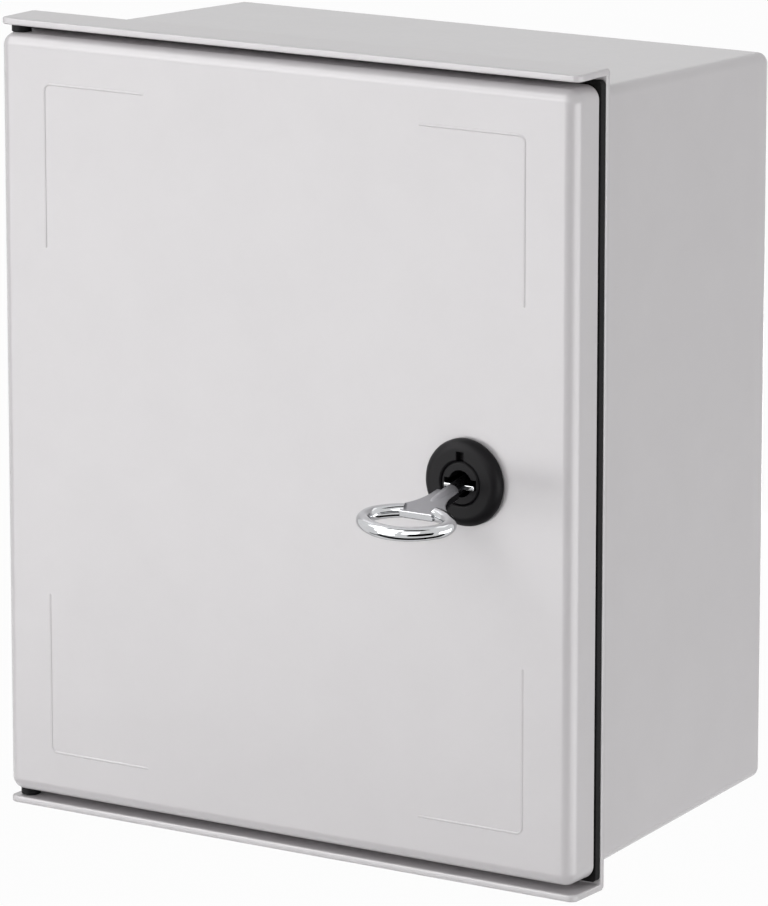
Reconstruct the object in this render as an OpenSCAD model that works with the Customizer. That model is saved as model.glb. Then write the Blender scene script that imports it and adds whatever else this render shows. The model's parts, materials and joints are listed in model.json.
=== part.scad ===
// Fiberglass wall enclosure with a side-hung door, a quarter-turn lock and its key.
// Millimetres. Origin at the centre of the back face, +X right, +Y to the wall, +Z up.

/* [Body] */
// Width over the front flange
flange_w = 250; // [220:1:320]
// Height over the eave and the sill
flange_h = 300; // [260:1:360]
// Thickness of the front flange
flange_t = 2.6; // [2.2:0.1:5]
// How far the flange stands out of the tub at the sides
side_lip = 3; // [1.5:0.1:6]
// How far the flange stands out of the tub at the top and the bottom
top_lip = 7.5; // [6:0.5:14]
// Depth from the back face to the front of the flange
tub_d = 130; // [100:1:180]
// Wall thickness of the moulding
wall_t = 3.2; // [2.5:0.1:4.5]
// Draft of the tub walls in degrees
draft_deg = 1.9; // [0.5:0.1:3]
// Rounding of the tub edges
tub_edge_r = 4; // [3.5:0.1:10]
// How far the eave and the sill stand forward of the flange
eave_reach = 18.5; // [16:0.5:26]
// Thickness of the eave and the sill
eave_t = 2.6; // [2:0.1:4]
// Rounding of the eave's front corners in plan
eave_corner_r = 1.6; // [0.8:0.1:4]

/* [Wall fixing] */
// Distance of the wall holes from the outside of the tub
wall_hole_in = 19; // [17:0.5:26]
// Radius of the wall holes
wall_hole_r = 4.25; // [3:0.05:5]
// Radius of the bosses around the wall holes
wall_boss_r = 8.2; // [6.5:0.1:10]
// Height of the bosses around the wall holes
wall_boss_h = 5; // [3:0.5:8]

/* [Mounting plate] */
// Distance of the mounting plate from the outside of the tub
plate_margin = 24; // [18:0.5:40]
// Thickness of the mounting plate
plate_t = 2; // [1.5:0.1:3]
// Side of the notch in each plate corner
plate_notch = 15; // [12:0.5:20]
// Distance of the plate screws from the plate's sides
plate_hole_in_x = 18; // [8:0.5:30]
// Distance of the plate screws from the plate's top and bottom
plate_hole_in_z = 22; // [8:0.5:30]
// Radius of the plate bosses
plate_boss_r = 7; // [6:0.1:9]
// Height of the plate bosses above the inside of the back
plate_boss_h = 12; // [8:0.5:20]
// Radius of the brass inserts
insert_r = 4; // [3.4:0.1:5]
// Length of the brass inserts
insert_len = 9; // [6:0.5:10]
// Radius of the plate screw thread
plate_screw_r = 2.5; // [2:0.1:2.8]
// Radius of the plate screw head
plate_head_r = 4.6; // [4:0.1:5.4]
// Height of the plate screw head
plate_head_h = 3.2; // [2.4:0.1:4]
// Radius of the plate washers
washer_r = 5.6; // [5.4:0.1:7]
// Thickness of the plate washers
washer_t = 1; // [0.8:0.1:1.6]

/* [Door] */
// Distance of the door's sides from the flange's sides
door_side_in = 0.6; // [0:0.1:3]
// Gap between the door and the eave, and between the door and the sill
door_gap_z = 2.8; // [2.2:0.1:6]
// Gap between the back of the door and the flange
door_gap_y = 3.8; // [2.4:0.1:5]
// How far the door front stands forward of the eave
door_proud = 1.5; // [0:0.1:4]
// Rounding of the door's front edges
door_edge_r = 4.8; // [4.5:0.1:7]
// How much larger the door's corner radius is than its edge rounding
door_corner_more = 0.3; // [0.3:0.1:6]
// Rounding of the back edge on the hinge side
hinge_edge_r = 3.2; // [2:0.1:3.2]
// Radius of the bead section
bead_r = 1; // [0.8:0.1:2]
// How far the beads stand out of the door
bead_h = 0.45; // [0.3:0.05:1.2]
// Distance of the upright beads from the door's sides
bead_in_x = 20.6; // [14:0.1:40]
// Distance of the level beads from the door's top and bottom
bead_in_z = 17.5; // [14:0.1:40]
// Length of the level beads
bead_len_x = 43.5; // [20:1:60]
// Length of the upright beads
bead_len_z = 60.5; // [30:1:80]
// Bend radius of the beads at the corner
bead_bend_r = 2.5; // [2:0.5:12]

/* [Seal] */
// Gap between the seal and the back of the door
seal_gap = 0.6; // [0.4:0.05:0.8]
// Distance of the seal from the flange's side edges
seal_in_x = 0.3; // [0.2:0.1:1.5]
// Distance of the seal from the eave and the sill
seal_in_z = 1.4; // [0.4:0.1:4]

/* [Hinge] */
// Distance of the hinge axis from the door's side
hinge_in = 5.4; // [4.8:0.1:7]
// Distance of the hinge axis from the back of the door
hinge_up = 9; // [8.5:0.1:11]
// Radius of the hinge pins
hinge_pin_r = 2; // [1.6:0.1:2.2]
// Outer radius of the hinge bushes
bush_r = 3.2; // [2.9:0.1:3.4]
// Radius of the bush flange
bush_flange_r = 3.7; // [3.5:0.1:4.7]
// Clearance of the bush flanges to the eave and to the sill
bush_gap = 0.4; // [0.3:0.05:0.6]
// Length of the bush inside the door
bush_len = 15; // [10:0.5:20]
// Size of the door's corner bosses
hinge_block = 14; // [12:0.5:18]
// Depth of the pin holes in the eave and the sill
pin_hole_deep = 1.6; // [1.2:0.1:1.8]
// How far the upper pin stands out below its bush
pin_tail = 3; // [2.2:0.1:5]
// Thickness of the retaining clip
clip_t = 0.7; // [0.5:0.05:1]
// Radius of the retaining clip
clip_r = 2.9; // [2.6:0.1:3.2]

/* [Lock] */
// Distance of the lock axis from the door's free side
lock_in = 44.2; // [40:0.1:70]
// Radius of the escutcheon
rose_r = 16; // [14:0.1:18]
// Height of the escutcheon
rose_h = 4.2; // [3:0.1:6]
// Height of the escutcheon's straight rim
rose_rim = 1; // [0.6:0.1:2]
// Radius of the escutcheon's flat front
rose_flat_r = 12.2; // [10.6:0.1:13]
// Radius of the lock barrel
barrel_r = 11; // [10.4:0.1:12]
// Width of the barrel across its flats
barrel_flat = 20.1; // [19:0.1:21]
// Radius of the rotor
rotor_r = 8; // [7.4:0.1:8.4]
// Radius of the rotor's shaft
shaft_r = 5; // [4.6:0.1:5.6]
// Radius of the key hole
key_hole_r = 4.9; // [4.6:0.1:5.2]
// Width across the two bit slots
slot_w = 13.4; // [12:0.1:13.6]
// Height of the bit slots
slot_h = 3.6; // [3.4:0.1:4]
// Depth of the bit slots
slot_deep = 9.8; // [9:0.1:11]
// Depth of the key hole
key_hole_deep = 11; // [10.5:0.1:12]
// Radius of the drive pin
drive_pin_r = 1.2; // [1:0.1:1.3]
// Distance of the drive pin's tip behind the rotor face
drive_pin_back = 3; // [2:0.1:4]
// Chamfer of the rotor's front edge and of its hole
rotor_chamfer = 0.6; // [0.2:0.05:0.8]
// Width of the index notch
index_w = 3.1; // [1.5:0.1:4]
// Length of the index notch
index_len = 3.5; // [2:0.1:4]
// Depth of the index notch
index_deep = 2.6; // [0.6:0.1:3]
// Thickness of the seal ring behind the escutcheon
lock_seal_t = 0.8; // [0.6:0.1:1.5]
// Width of the nut across its flats
nut_flat = 27; // [25:0.5:30]
// Thickness of the nut
nut_t = 5; // [4:0.5:8]
// Thickness of the washer under the nut
nut_washer_t = 1; // [0.8:0.1:1.6]
// Thickness of the lock boss inside the door
lock_boss_t = 2.5; // [1.5:0.1:4]

/* [Latch] */
// Length of the cam from the lock axis to its tip
cam_len = 31; // [26:0.5:40]
// Width of the cam
cam_w = 13; // [10:0.5:16]
// Thickness of the cam
cam_t = 2.5; // [2:0.1:4]
// Radius of the cam's hub
cam_hub_r = 9; // [8:0.1:11]
// Width of the square that carries the cam
cam_square = 7; // [6:0.1:7]
// Depth of the cam's front face behind the flange front
cam_deep = 5.5; // [5:0.1:9]
// Radius of the cam screw thread
cam_screw_r = 2; // [1.5:0.1:2.4]
// Radius of the cam screw head
cam_head_r = 4.2; // [3.8:0.1:5]
// Height of the cam screw head
cam_head_h = 2.8; // [2:0.1:4]
// Thickness of the strike bracket
strike_t = 2; // [1.5:0.1:3]
// Height of the strike bracket
strike_h = 30; // [24:1:40]
// Length of the strike bracket's leg on the wall
strike_leg = 16; // [14:0.5:22]
// How far the catch leg reaches over the cam's tip
strike_over = 8; // [5:0.5:10]
// Distance between the strike screws
strike_screw_dz = 18; // [14:0.5:24]
// Radius of the strike screw thread
strike_screw_r = 2; // [1.5:0.1:2.4]
// Radius of the strike screw head
strike_head_r = 3.4; // [3:0.1:4]
// Height of the strike screw head
strike_head_h = 2.4; // [1.8:0.1:3]
// Depth of the strike screw in the wall pad
strike_screw_in = 5; // [4:0.5:7]

/* [Key] */
// Droop of the key in its loose hole in degrees
key_droop = 10; // [6:0.5:10]
// How far the key tip sits behind the rotor face
key_in = 8.6; // [7:0.1:9]
// Radius of the key tube
tube_r = 3; // [2.7:0.1:3.2]
// Radius of the bore in the key tube
tube_bore_r = 2.3; // [2.2:0.05:2.4]
// Depth of the bore in the key tube
tube_bore_deep = 11; // [9:0.5:14]
// Width across the key bits
bit_w = 12.6; // [11:0.1:12.8]
// Thickness of the key bits
bit_t = 1.8; // [1.4:0.1:2]
// Length of the key bits
bit_len = 8; // [5:0.1:8.4]
// Distance from the rotor face to the key's shoulder
shoulder_out = 9; // [7:0.5:14]
// Width of the key's shoulder
shoulder_w = 7.6; // [6.4:0.1:9]
// Thickness of the key's flat web
web_t = 2.8; // [2.4:0.1:4]
// Width of the web at the bow
web_w = 20; // [17:0.2:22]
// Width of the straight end of the web inside the bow
web_tab_w = 14; // [12:0.2:16]
// How far the web's straight end reaches into the bow from the bar's centre line
web_tab_in = 3.4; // [2.4:0.1:5]
// Radius of the hollow sides of the web
web_side_r = 14; // [10:0.5:20]
// Distance from the rotor face to the middle of the bow
bow_out = 36; // [30:0.5:44]
// Width of the bow measured on its bar's centre line
bow_w = 34.6; // [28:0.2:40]
// Depth of the bow measured on its bar's centre line
bow_d = 22; // [18:0.2:26]
// Radius of the bow's ends on the bar's centre line
bow_end_r = 6.4; // [5:0.1:8]
// Radius of the bow's bar
bow_bar_r = 2.3; // [1.8:0.1:3]

/* [Fits] */
// Radial clearance of the pivot pins in their bushes
run_gap = 0.06; // [0.02:0.01:0.1]
// Radial clearance of pieces that are fixed in a hole
seat_gap = 0.02; // [0.01:0.01:0.05]
// Radial clearance of screws in their holes
screw_gap = 0.25; // [0.1:0.05:0.5]
// Clearance of the barrel in the door
barrel_gap = 0.15; // [0.05:0.05:0.3]
// Axial clearance between turning and fixed faces
face_gap = 0.3; // [0.2:0.05:0.5]

/* [Hidden] */
$fn = 64;
hull_fn = 32;
skin = 0.4;
lap = 1;
flange_y = -tub_d;
flange_back = flange_y + flange_t;
eave_y = flange_y - eave_reach;
eave_z = flange_h / 2 - eave_t;
tub_w = flange_w - 2 * side_lip;
tub_h = flange_h - 2 * top_lip;
draft_run = tub_d * tan(draft_deg);
inner_w = tub_w - 2 * wall_t;
inner_h = tub_h - 2 * wall_t;
inner_edge_r = tub_edge_r - wall_t;
wall_hole_dx = tub_w - 2 * wall_hole_in;
wall_hole_dz = tub_h - 2 * wall_hole_in;
plate_w = tub_w - 2 * plate_margin;
plate_h = tub_h - 2 * plate_margin;
plate_hole_dx = plate_w - 2 * plate_hole_in_x;
plate_hole_dz = plate_h - 2 * plate_hole_in_z;
boss_top_y = -wall_t - plate_boss_h;
plate_y = boss_top_y - plate_t;
wall_boss_y = -wall_t - wall_boss_h;
screw_seat_y = plate_y - washer_t;
door_w = flange_w - 2 * door_side_in;
door_h = flange_h - 2 * eave_t - 2 * door_gap_z;
door_back = flange_y - door_gap_y;
door_front = eave_y - door_proud;
door_d = door_back - door_front;
door_skin_y = door_front + wall_t;
bead_x = door_w / 2 - bead_in_x;
bead_z = door_h / 2 - bead_in_z;
lock_x = door_w / 2 - lock_in;
hinge_x = -door_w / 2 + hinge_in;
hinge_y = door_back - hinge_up;
door_corner_r = door_edge_r + door_corner_more;
bush_flange_t = door_gap_z - bush_gap;
bush_z = door_h / 2 - bush_len;
pin_top_z = eave_z + pin_hole_deep;
pin_low_z = bush_z - pin_tail;
clip_z = bush_z - face_gap - clip_t;
clip_groove_r = hinge_pin_r - 0.5;
seal_t = door_gap_y - seal_gap;
seal_w = flange_w - 2 * seal_in_x;
seal_h = flange_h - 2 * eave_t - 2 * seal_in_z;
cam_y = flange_y + cam_deep;
cam_back = cam_y + cam_t;
rose_y = door_front - lock_seal_t;
rose_front = rose_y - rose_h;
rose_curve = (pow(rose_r - rose_flat_r, 2) + pow(rose_h - rose_rim, 2)) / (2 * (rose_h - rose_rim));
rotor_face = rose_front + 0.2;
barrel_end = cam_y - 3;
lock_seat_y = door_skin_y + lock_boss_t;
nut_y = lock_seat_y + nut_washer_t;
rotor_step = rotor_face + 17;
rotor_bore_r = rotor_r + run_gap;
o_ring_y = rotor_face + key_hole_deep + 2.4;
o_ring_r = 0.72;
o_ring_mid_r = rotor_r - o_ring_r + seat_gap;
shaft_gap = 0.1;
strike_wall_x = lock_x + cam_len + 1;
strike_back = cam_y - face_gap;
strike_front = strike_back - strike_t;
strike_in_x = lock_x + cam_len - strike_over;
pad_x0 = strike_wall_x + strike_t;
pad_x1 = tub_w / 2 - wall_t / 2 - (cam_deep + strike_leg) * tan(draft_deg);
strike_screw_y = strike_front + strike_leg - 5.5;
key_pivot = key_in - bit_len / 2;
bow_big_r = (pow(bow_w / 2 - bow_end_r, 2) + pow(bow_d / 2, 2) - pow(bow_end_r, 2)) / (bow_d - 2 * bow_end_r);
bow_end_x = bow_w / 2 - bow_end_r;
bow_big_c = bow_big_r - bow_d / 2;
bow_turn = atan2(bow_big_c, bow_end_x);
web_bar_y = sqrt(pow(bow_big_r, 2) - pow(web_w / 2, 2)) - bow_out - bow_big_c;
bow_lap = 2;
bow_cut = asin((web_tab_w / 2 - 0.6) / bow_big_r);
bow_swell = 0.05;
sides = [-1, 1];

// A flat outline drawn in X and Z, made solid between two depths
module slab(y0, y1) {
    translate([0, y1, 0])
        rotate([90, 0, 0])
            linear_extrude(height = y1 - y0)
                children();
}

// A round bar along Y
module rod(x, z, y0, y1, r) {
    translate([x, y1, z])
        rotate([90, 0, 0])
            cylinder(r = r, h = y1 - y0);
}

// A rectangle with round corners
module panel_outline(w, h, r) {
    square([w - 2 * r, h], center = true);
    square([w, h - 2 * r], center = true);
    for (sx = sides)
        for (sz = sides)
            translate([sx * (w / 2 - r), sz * (h / 2 - r)])
                circle(r = r);
}

// A drafted block with a flat back and round edges
module drafted_block(w, h, run, y0, y1, r) {
    back_w = w - 2 * run;
    back_h = h - 2 * run;
    hull($fn = hull_fn) {
        slab(y0, y0 + skin)
            panel_outline(w, h, r, $fn = hull_fn);
        slab(y1 - skin, y1)
            square([back_w - 2 * r, back_h - 2 * r], center = true);
        for (sx = sides)
            for (sz = sides)
                translate([sx * (back_w / 2 - r), y1 - r, sz * (back_h / 2 - r)])
                    rotate([90, 0, 0])
                        sphere(r = r, $fn = hull_fn);
    }
}

// Half of a door section: a flat back, straight sides and round front edges
module pillow_profile(w, d, r) {
    translate([-w / 2, -d + r])
        square([w, d - r]);
    translate([-w / 2 + r, -d])
        square([w - 2 * r, d]);
    for (s = sides)
        translate([s * (w / 2 - r), -d + r])
            circle(r = r);
}

// A slab with round corners and rolled front edges, back at y1
module pillow(w, h, corner_r, edge_r, y0, y1) {
    d = y1 - y0;
    translate([0, y1, -h / 2 + corner_r])
        linear_extrude(height = h - 2 * corner_r)
            pillow_profile(w, d, edge_r);
    translate([-w / 2 + corner_r, y1, 0])
        rotate([90, 0, 90])
            linear_extrude(height = w - 2 * corner_r)
                rotate([0, 0, -90])
                    pillow_profile(h, d, edge_r);
    for (sx = sides)
        for (sz = sides)
            translate([sx * (w / 2 - corner_r), y1, sz * (h / 2 - corner_r)])
                rotate([90, 0, 0])
                    rotate_extrude() {
                        square([corner_r - edge_r, d]);
                        square([corner_r, d - edge_r]);
                        translate([corner_r - edge_r, d - edge_r])
                            intersection() {
                                circle(r = edge_r);
                                square([edge_r, edge_r]);
                            }
                    }
}

// The eave or sill outline in plan
module eave_outline() {
    translate([-flange_w / 2, eave_y + eave_corner_r])
        square([flange_w, eave_reach - eave_corner_r + flange_t / 2]);
    translate([-flange_w / 2 + eave_corner_r, eave_y])
        square([flange_w - 2 * eave_corner_r, 2 * eave_corner_r]);
    for (s = sides)
        translate([s * (flange_w / 2 - eave_corner_r), eave_y + eave_corner_r])
            circle(r = eave_corner_r);
}

// Places a child at the four corners of a rectangle in X and Z
module at_corners(dx, dz) {
    for (sx = sides)
        for (sz = sides)
            translate([sx * dx / 2, 0, sz * dz / 2])
                children();
}

// A pan head with a cross recess, seat at y = 0, head towards -Y
module pan_head(r, h) {
    difference() {
        rotate([90, 0, 0])
            rotate_extrude() {
                square([r - h / 2, h]);
                square([r, h / 2]);
                translate([r - h / 2, h / 2])
                    intersection() {
                        circle(r = h / 2);
                        square([h / 2, h / 2]);
                    }
            }
        for (a = [45, 135])
            translate([0, -h, 0])
                rotate([0, a, 0])
                    cube([1.3 * r, h, 0.26 * r], center = true);
    }
}

module body_shell() {
    color([0.80, 0.81, 0.80])
    difference() {
        union() {
            difference() {
                union() {
                    drafted_block(tub_w, tub_h, draft_run, flange_y, 0, tub_edge_r);
                    slab(flange_y, flange_back)
                        panel_outline(flange_w, flange_h, eave_corner_r);
                }
                drafted_block(inner_w, inner_h, draft_run, flange_y - lap, -wall_t, inner_edge_r);
            }
            for (z = [eave_z, -flange_h / 2])
                translate([0, 0, z])
                    linear_extrude(height = eave_t)
                        eave_outline();
            at_corners(wall_hole_dx, wall_hole_dz)
                rod(0, 0, wall_boss_y, -wall_t / 2, wall_boss_r);
            at_corners(plate_hole_dx, plate_hole_dz)
                rod(0, 0, boss_top_y, -wall_t / 2, plate_boss_r);
            translate([pad_x0, strike_front + 1, -strike_h / 2])
                cube([pad_x1 - pad_x0, strike_leg - 1, strike_h]);
        }
        at_corners(wall_hole_dx, wall_hole_dz)
            rod(0, 0, wall_boss_y - lap, lap, wall_hole_r);
        at_corners(plate_hole_dx, plate_hole_dz)
            rod(0, 0, boss_top_y - lap, boss_top_y + insert_len + 0.5, insert_r + seat_gap);
        translate([hinge_x, hinge_y, eave_z - lap])
            cylinder(r = hinge_pin_r + seat_gap, h = pin_hole_deep + lap);
        translate([hinge_x, hinge_y, -eave_z - pin_hole_deep])
            cylinder(r = hinge_pin_r + seat_gap, h = pin_hole_deep + lap);
        for (s = sides)
            translate([pad_x0 - lap, strike_screw_y, s * strike_screw_dz / 2])
                rotate([0, 90, 0])
                    cylinder(r = strike_screw_r + seat_gap, h = strike_screw_in + lap + 0.5);
    }
}

module door_seal() {
    color([0.05, 0.05, 0.05])
    slab(flange_y - seal_t, flange_y)
        difference() {
            panel_outline(seal_w, seal_h, eave_corner_r);
            panel_outline(inner_w, inner_h, inner_edge_r);
        }
}

module upper_hinge_pin() {
    color([0.74, 0.75, 0.76])
    translate([hinge_x, hinge_y, 0])
        difference() {
            translate([0, 0, pin_low_z])
                cylinder(r = hinge_pin_r, h = pin_top_z - pin_low_z);
            translate([0, 0, clip_z - seat_gap])
                difference() {
                    cylinder(r = hinge_pin_r + lap, h = clip_t + 2 * seat_gap);
                    cylinder(r = clip_groove_r, h = clip_t + 2 * seat_gap);
                }
        }
}

module lower_hinge_pin() {
    color([0.74, 0.75, 0.76])
    translate([hinge_x, hinge_y, -pin_top_z])
        cylinder(r = hinge_pin_r, h = pin_top_z - bush_z);
}

module hinge_clip() {
    color([0.45, 0.46, 0.48])
    translate([hinge_x, hinge_y, clip_z])
        linear_extrude(height = clip_t)
            difference() {
                circle(r = clip_r);
                circle(r = clip_groove_r + seat_gap);
                translate([0, -0.8 * clip_groove_r])
                    square([clip_r + lap, 1.6 * clip_groove_r]);
            }
}

module strike_bracket() {
    color([0.72, 0.73, 0.74])
    difference() {
        translate([0, 0, -strike_h / 2])
            linear_extrude(height = strike_h) {
                translate([strike_wall_x, strike_front])
                    square([strike_t, strike_leg]);
                translate([strike_in_x, strike_front])
                    square([pad_x0 - strike_in_x, strike_t]);
            }
        for (s = sides)
            translate([strike_wall_x - lap, strike_screw_y, s * strike_screw_dz / 2])
                rotate([0, 90, 0])
                    cylinder(r = strike_screw_r + screw_gap, h = strike_t + 2 * lap);
    }
}

module strike_screws() {
    color([0.70, 0.71, 0.72])
    for (s = sides)
        translate([strike_wall_x, strike_screw_y, s * strike_screw_dz / 2])
            rotate([0, 0, -90]) {
                pan_head(strike_head_r, strike_head_h);
                rod(0, 0, -0.2, strike_t + strike_screw_in, strike_screw_r);
            }
}

module plate_inserts() {
    color([0.78, 0.62, 0.32])
    at_corners(plate_hole_dx, plate_hole_dz)
        difference() {
            rod(0, 0, boss_top_y, boss_top_y + insert_len, insert_r);
            rod(0, 0, boss_top_y - lap, boss_top_y + insert_len + lap, plate_screw_r + seat_gap);
        }
}

module mounting_plate() {
    color([0.70, 0.72, 0.73])
    difference() {
        slab(plate_y, boss_top_y)
            difference() {
                square([plate_w, plate_h], center = true);
                for (sx = sides)
                    for (sz = sides)
                        translate([sx * plate_w / 2, sz * plate_h / 2])
                            square(2 * plate_notch, center = true);
            }
        at_corners(plate_hole_dx, plate_hole_dz)
            rod(0, 0, plate_y - lap, boss_top_y + lap, plate_screw_r + screw_gap);
    }
}

module plate_washers() {
    color([0.72, 0.73, 0.74])
    at_corners(plate_hole_dx, plate_hole_dz)
        difference() {
            rod(0, 0, screw_seat_y, plate_y, washer_r);
            rod(0, 0, screw_seat_y - lap, plate_y + lap, plate_screw_r + screw_gap);
        }
}

module plate_screws() {
    color([0.72, 0.73, 0.74])
    at_corners(plate_hole_dx, plate_hole_dz)
        translate([0, screw_seat_y, 0]) {
            pan_head(plate_head_r, plate_head_h);
            rod(0, 0, -0.2, washer_t + plate_t + insert_len - 1, plate_screw_r);
        }
}

// One corner bead of the door, drawn for the upper right corner
module corner_bead() {
    y = door_front + bead_r - bead_h;
    end_x = bead_x - bead_len_x;
    end_z = bead_z - bead_len_z;
    translate([end_x, y, bead_z])
        rotate([0, 90, 0])
            cylinder(r = bead_r, h = bead_len_x - bead_bend_r, $fn = hull_fn);
    translate([bead_x, y, end_z])
        cylinder(r = bead_r, h = bead_len_z - bead_bend_r, $fn = hull_fn);
    translate([bead_x - bead_bend_r, y, bead_z - bead_bend_r])
        rotate([90, 0, 0])
            rotate_extrude(angle = 90)
                translate([bead_bend_r, 0])
                    circle(r = bead_r, $fn = hull_fn);
    translate([end_x, y, bead_z])
        sphere(r = bead_r, $fn = hull_fn);
    translate([bead_x, y, end_z])
        sphere(r = bead_r, $fn = hull_fn);
}

// The flatted outline of the lock barrel, drawn in X and Z
module barrel_outline(extra) {
    intersection() {
        circle(r = barrel_r + extra);
        square([2 * barrel_r + 4 * extra, barrel_flat + 2 * extra], center = true);
    }
}

// The hollow inside the door, left solid at the lock and at the hinge corners
module door_hollow() {
    difference() {
        pillow(door_w - 2 * wall_t, door_h - 2 * wall_t, door_corner_r - wall_t,
            door_edge_r - wall_t, door_skin_y, door_back + lap);
        rod(lock_x, 0, door_skin_y - lap, lock_seat_y, rose_r + 2);
        for (s = [0, 1])
            mirror([0, 0, s])
                translate([-door_w / 2, door_skin_y - lap, bush_z])
                    cube([hinge_block, hinge_y + 5 - door_skin_y + lap, bush_len]);
    }
}

module door_panel() {
    color([0.83, 0.84, 0.83])
    difference() {
        union() {
            difference() {
                pillow(door_w, door_h, door_corner_r, door_edge_r, door_front, door_back);
                door_hollow();
            }
            for (sx = [0, 1])
                for (sz = [0, 1])
                    mirror([sx, 0, 0])
                        mirror([0, 0, sz])
                            corner_bead();
        }
        slab(door_front - lap - bead_h, lock_seat_y + lap)
            translate([lock_x, 0])
                barrel_outline(barrel_gap);
        for (s = [0, 1])
            mirror([0, 0, s])
                translate([hinge_x, hinge_y, bush_z - lap])
                    cylinder(r = bush_r + seat_gap, h = bush_len + 2 * lap);
        translate([hinge_x, hinge_y, pin_low_z - lap])
            cylinder(r = clip_r + face_gap, h = bush_z - pin_low_z + lap);
        translate([-door_w / 2, door_back, -door_h / 2 - lap])
            linear_extrude(height = door_h + 2 * lap)
                difference() {
                    translate([-lap, -hinge_edge_r])
                        square([hinge_edge_r + lap, hinge_edge_r + lap]);
                    translate([hinge_edge_r, -hinge_edge_r])
                        circle(r = hinge_edge_r);
                }
    }
}

// A flanged bush for the upper corner of the door
module hinge_bush() {
    translate([hinge_x, hinge_y, bush_z])
        difference() {
            union() {
                cylinder(r = bush_r, h = bush_len);
                translate([0, 0, bush_len])
                    cylinder(r = bush_flange_r, h = bush_flange_t);
            }
            translate([0, 0, -lap])
                cylinder(r = hinge_pin_r + run_gap, h = bush_len + bush_flange_t + 2 * lap);
        }
}

module upper_hinge_bush() {
    color([0.10, 0.10, 0.105])
    hinge_bush();
}

module lower_hinge_bush() {
    color([0.10, 0.10, 0.105])
    mirror([0, 0, 1])
        hinge_bush();
}

module lock_housing() {
    color([0.10, 0.10, 0.105])
    translate([lock_x, 0, 0])
        difference() {
            union() {
                translate([0, rose_y, 0])
                    rotate([90, 0, 0])
                        rotate_extrude() {
                            square([rose_flat_r, rose_h]);
                            intersection() {
                                translate([rose_flat_r, rose_h - rose_curve])
                                    circle(r = rose_curve);
                                square([rose_r, rose_h]);
                            }
                        }
                slab(rose_y - lap, barrel_end)
                    barrel_outline(0);
            }
            rod(0, 0, rose_front - lap, rotor_step + face_gap, rotor_bore_r);
            rod(0, 0, rotor_step, barrel_end + lap, shaft_r + shaft_gap);
            translate([0, rose_front, 0])
                rotate([-90, 0, 0])
                    cylinder(r1 = rotor_bore_r + rotor_chamfer, r2 = rotor_bore_r, h = rotor_chamfer);
            translate([-index_w / 2, rose_front - lap, rotor_r - lap])
                cube([index_w, index_deep + lap, index_len + lap]);
        }
}

module lock_seal() {
    color([0.06, 0.06, 0.06])
    translate([lock_x, 0, 0])
        slab(rose_y, door_front)
            difference() {
                circle(r = rose_r - 0.5);
                circle(r = barrel_r + barrel_gap);
            }
}

module lock_washer() {
    color([0.70, 0.71, 0.72])
    translate([lock_x, 0, 0])
        slab(lock_seat_y, nut_y)
            difference() {
                circle(r = nut_flat / 2 + 2);
                barrel_outline(barrel_gap);
            }
}

module lock_nut() {
    color([0.70, 0.71, 0.72])
    translate([lock_x, 0, 0])
        slab(nut_y, nut_y + nut_t)
            difference() {
                circle(r = nut_flat / 2 / cos(30), $fn = 6);
                circle(r = barrel_r + seat_gap);
            }
}

module lock_rotor() {
    color([0.12, 0.12, 0.125])
    translate([lock_x, 0, 0])
        difference() {
            union() {
                rod(0, 0, rotor_face, rotor_step, rotor_r);
                rod(0, 0, rotor_step - lap, cam_y, shaft_r);
                slab(cam_y - lap, cam_back - 0.1)
                    square(cam_square, center = true);
            }
            translate([0, rotor_face, 0])
                rotate([-90, 0, 0])
                    difference() {
                        cylinder(r = rotor_r + lap, h = rotor_chamfer);
                        cylinder(r1 = rotor_r - rotor_chamfer, r2 = rotor_r, h = rotor_chamfer);
                    }
            rod(0, 0, rotor_face - lap, rotor_face + key_hole_deep, key_hole_r);
            translate([-slot_w / 2, rotor_face - lap, -slot_h / 2])
                cube([slot_w, slot_deep + lap, slot_h]);
            rod(0, 0, rotor_face + key_hole_deep - lap, rotor_face + key_hole_deep + 4,
                drive_pin_r + seat_gap);
            translate([0, o_ring_y + o_ring_r + seat_gap, 0])
                rotate([90, 0, 0])
                    difference() {
                        cylinder(r = rotor_r + lap, h = 2 * (o_ring_r + seat_gap));
                        cylinder(r = o_ring_mid_r - o_ring_r - seat_gap, h = 2 * (o_ring_r + seat_gap));
                    }
            rod(0, 0, cam_back - 12, cam_back + lap, cam_screw_r + seat_gap);
        }
}

module rotor_o_ring() {
    color([0.05, 0.05, 0.05])
    translate([lock_x, o_ring_y, 0])
        rotate([90, 0, 0])
            rotate_extrude()
                translate([o_ring_mid_r, 0])
                    circle(r = o_ring_r);
}

module drive_pin() {
    color([0.80, 0.81, 0.82])
    rod(lock_x, 0, rotor_face + drive_pin_back, rotor_face + key_hole_deep + 3.8, drive_pin_r);
}

module latch_cam() {
    color([0.72, 0.73, 0.74])
    translate([lock_x, 0, 0])
        slab(cam_y, cam_back)
            difference() {
                union() {
                    circle(r = cam_hub_r);
                    translate([-cam_w / 2, -cam_len + cam_w / 2])
                        square([cam_w, cam_len - cam_w / 2]);
                    translate([0, -cam_len + cam_w / 2])
                        circle(r = cam_w / 2);
                }
                square(cam_square + 2 * seat_gap, center = true);
            }
}

module cam_washer() {
    color([0.72, 0.73, 0.74])
    translate([lock_x, 0, 0])
        slab(cam_back, cam_back + washer_t)
            difference() {
                circle(r = cam_hub_r - 1.5);
                circle(r = cam_screw_r + screw_gap);
            }
}

module cam_screw() {
    color([0.72, 0.73, 0.74])
    translate([lock_x, cam_back + washer_t, 0])
        rotate([0, 0, 180]) {
            pan_head(cam_head_r, cam_head_h);
            rod(0, 0, -0.2, washer_t + 10, cam_screw_r);
        }
}

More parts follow.
